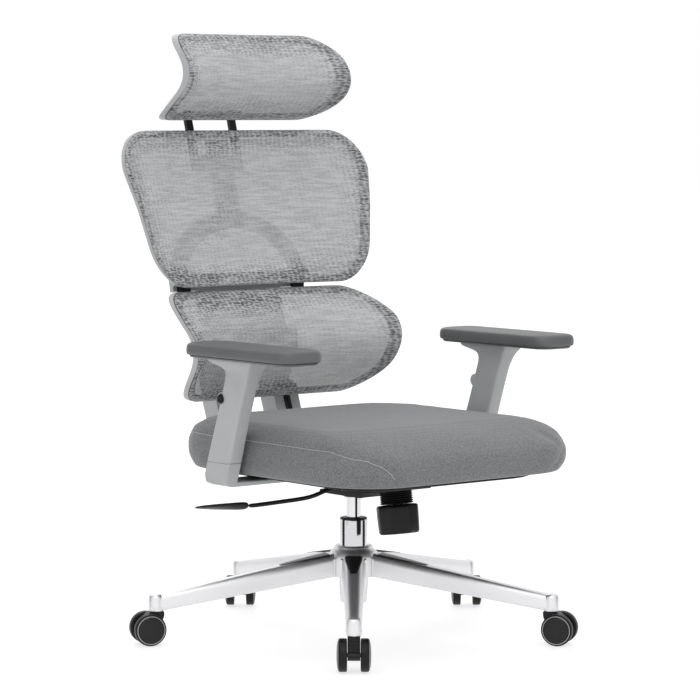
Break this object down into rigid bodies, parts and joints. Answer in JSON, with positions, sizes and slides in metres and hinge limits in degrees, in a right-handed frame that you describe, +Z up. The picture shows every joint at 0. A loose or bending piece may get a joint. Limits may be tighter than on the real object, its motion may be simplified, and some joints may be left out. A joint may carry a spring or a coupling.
{
  "type": "ergonomic mesh swivel chair",
  "caption": "Ergonomic mesh swivel chair: headrest, back and lumbar panels on a yoke, padded seat, height-adjustable arms, tilt mechanism, gas lift and a star base on twin-wheel casters.",
  "frame": {"origin": "the middle of the whole chair's box, on the floor; the gas lift's axis stands at x = -0.005, y = -0.046 m", "axes": "+Z up, the sitter faces -Y, +X is the sitter's left"},
  "size_m": [0.8319, 0.8386, 1.1326],
  "materials": {
    "polished_aluminium": "polished",
    "chrome": "polished",
    "black_plastic": "satin",
    "wheel_plastic": "satin",
    "grey_plastic": "satin",
    "steel": "satin",
    "black_steel": "satin",
    "rubber": "matte",
    "grey_fabric": "matte",
    "grey_mesh": "matte",
    "pad_foam": "satin"
  },
  "bodies": {
    "base": {"star_base": "polished_aluminium", "lift_tube": "chrome", "tube_bush": "black_plastic"},
    "piston": {"lift_piston": "chrome"},
    "mechanism": {"mechanism_housing": "black_plastic", "tilt_shaft": "steel", "spring_gaiter": "rubber", "tension_spring": "steel"},
    "tilt_lock": {"lever_block": "steel"},
    "height_lever": {"lever_rod": "steel", "lever_paddle": "black_plastic"},
    "tension_knob": {"tension_knob": "black_plastic", "tension_bolt": "steel"},
    "seat": {"tilt_carrier": "black_steel", "seat_pan": "black_plastic", "seat_cushion": "grey_fabric", "arm_bracket_left": "grey_plastic", "arm_bracket_right": "grey_plastic", "arm_post_left": "black_plastic", "arm_post_right": "black_plastic", "back_yoke": "grey_plastic"},
    "arm_left": {"arm_sleeve_left": "grey_plastic", "arm_pad_left": "pad_foam"},
    "arm_right": {"arm_sleeve_right": "grey_plastic", "arm_pad_right": "pad_foam"},
    "arm_button_left": {"arm_button_left": "black_plastic"},
    "arm_button_right": {"arm_button_right": "black_plastic"},
    "back": {"back_carrier": "grey_plastic", "lumbar_pin": "steel", "back_frame": "grey_plastic", "back_mesh": "grey_mesh", "back_arch": "grey_plastic", "back_clip_left": "black_plastic", "back_clip_right": "black_plastic"},
    "lumbar": {"lumbar_frame": "grey_plastic", "lumbar_mesh": "grey_mesh", "lumbar_bracket": "grey_plastic"},
    "headrest_slider": {"headrest_bracket": "black_plastic"},
    "headrest": {"headrest_frame": "grey_plastic", "headrest_mesh": "grey_mesh"},
    "caster_1": {"caster_fork_1": "black_plastic"},
    "wheels_1": {"wheel_left_1": "wheel_plastic", "wheel_right_1": "wheel_plastic", "caster_axle_1": "steel"},
    "caster_2": {"caster_fork_2": "black_plastic"},
    "wheels_2": {"wheel_left_2": "wheel_plastic", "wheel_right_2": "wheel_plastic", "caster_axle_2": "steel"},
    "caster_3": {"caster_fork_3": "black_plastic"},
    "wheels_3": {"wheel_left_3": "wheel_plastic", "wheel_right_3": "wheel_plastic", "caster_axle_3": "steel"},
    "caster_4": {"caster_fork_4": "black_plastic"},
    "wheels_4": {"wheel_left_4": "wheel_plastic", "wheel_right_4": "wheel_plastic", "caster_axle_4": "steel"},
    "caster_5": {"caster_fork_5": "black_plastic"},
    "wheels_5": {"wheel_left_5": "wheel_plastic", "wheel_right_5": "wheel_plastic", "caster_axle_5": "steel"}
  },
  "joints": [
    {"name": "gas_lift", "type": "slide", "parent": "base", "child": "piston", "axis": [0, 0, 1], "range_m": [-0.03, 0.07]},
    {"name": "seat_swivel", "type": "hinge", "parent": "piston", "child": "mechanism", "pos_m": [-0.005, -0.046, 0.2747], "axis": [0, 0, 1], "continuous": true},
    {"name": "lever_lock", "type": "slide", "parent": "mechanism", "child": "tilt_lock", "axis": [-1, 0, 0], "range_m": [0, 0.01]},
    {"name": "lever_lift", "type": "hinge", "parent": "tilt_lock", "child": "height_lever", "pos_m": [-0.0505, -0.068, 0.2825], "axis": [0, 1, 0], "range_deg": [0, 2.5], "stiffness_Nm_per_rad": 6, "springref_deg": -6.88},
    {"name": "tension_turn", "type": "hinge", "parent": "mechanism", "child": "tension_knob", "pos_m": [-0.005, -0.17, 0.282], "axis": [0, 0.1392, 0.9903], "range_deg": [-720, 720]},
    {"name": "back_tilt", "type": "hinge", "parent": "mechanism", "child": "seat", "pos_m": [-0.005, -0.096, 0.293], "axis": [-1, 0, 0], "range_deg": [0, 14], "stiffness_Nm_per_rad": 150, "springref_deg": -14.32},
    {"name": "back_height", "type": "slide", "parent": "seat", "child": "back", "axis": [0, 0.225, 0.9744], "range_m": [0, 0.05]},
    {"name": "back_lumbar", "type": "hinge", "parent": "back", "child": "lumbar", "pos_m": [-0.005, 0.27846, 0.5398], "axis": [1, 0, 0], "range_deg": [-5, 5], "stiffness_Nm_per_rad": 12},
    {"name": "headrest_height", "type": "slide", "parent": "back", "child": "headrest_slider", "axis": [0, 0.2785, 0.9604], "range_m": [0, 0.045]},
    {"name": "headrest_tilt", "type": "hinge", "parent": "headrest_slider", "child": "headrest", "pos_m": [-0.005, 0.41105, 0.97793], "axis": [1, 0, 0], "range_deg": [-20, 5]},
    {"name": "arm_height_left", "type": "slide", "parent": "seat", "child": "arm_left", "axis": [0, -0.3256, 0.9455], "range_m": [0, 0.07]},
    {"name": "arm_press_left", "type": "slide", "parent": "arm_left", "child": "arm_button_left", "axis": [-1, 0, 0], "range_m": [0, 0.003], "stiffness_N_per_m": 400, "springref_m": -0.002},
    {"name": "arm_height_right", "type": "slide", "parent": "seat", "child": "arm_right", "axis": [0, -0.3256, 0.9455], "range_m": [0, 0.07]},
    {"name": "arm_press_right", "type": "slide", "parent": "arm_right", "child": "arm_button_right", "axis": [1, 0, 0], "range_m": [0, 0.003], "stiffness_N_per_m": 400, "springref_m": -0.002},
    {"name": "wheel_swivel_1", "type": "hinge", "parent": "base", "child": "caster_1", "pos_m": [-0.24729, -0.3452, 0.06], "axis": [0, 0, 1], "continuous": true},
    {"name": "wheel_spin_1", "type": "hinge", "parent": "caster_1", "child": "wheels_1", "pos_m": [-0.25736, -0.35764, 0.02963], "axis": [0.7771, -0.6293, 0], "continuous": true},
    {"name": "wheel_swivel_2", "type": "hinge", "parent": "base", "child": "caster_2", "pos_m": [0.20469, -0.36889, 0.06], "axis": [0, 0, 1], "continuous": true},
    {"name": "wheel_spin_2", "type": "hinge", "parent": "caster_2", "child": "wheels_2", "pos_m": [0.2134, -0.38231, 0.02963], "axis": [0.8387, 0.5446, 0], "continuous": true},
    {"name": "wheel_swivel_3", "type": "hinge", "parent": "base", "child": "caster_3", "pos_m": [0.36688, 0.05365, 0.06], "axis": [0, 0, 1], "continuous": true},
    {"name": "wheel_spin_3", "type": "hinge", "parent": "caster_3", "child": "wheels_3", "pos_m": [0.37695, 0.06608, 0.02963], "axis": [-0.7771, 0.6293, 0], "continuous": true},
    {"name": "wheel_swivel_4", "type": "hinge", "parent": "base", "child": "caster_4", "pos_m": [0.01515, 0.33847, 0.06], "axis": [0, 0, 1], "continuous": true},
    {"name": "wheel_spin_4", "type": "hinge", "parent": "caster_4", "child": "wheels_4", "pos_m": [0.02522, 0.35091, 0.02963], "axis": [-0.7771, 0.6293, 0], "continuous": true},
    {"name": "wheel_swivel_5", "type": "hinge", "parent": "base", "child": "caster_5", "pos_m": [-0.36443, 0.09197, 0.06], "axis": [0, 0, 1], "continuous": true},
    {"name": "wheel_spin_5", "type": "hinge", "parent": "caster_5", "child": "wheels_5", "pos_m": [-0.37937, 0.09771, 0.02963], "axis": [-0.3584, -0.9336, 0], "continuous": true}
  ]
}
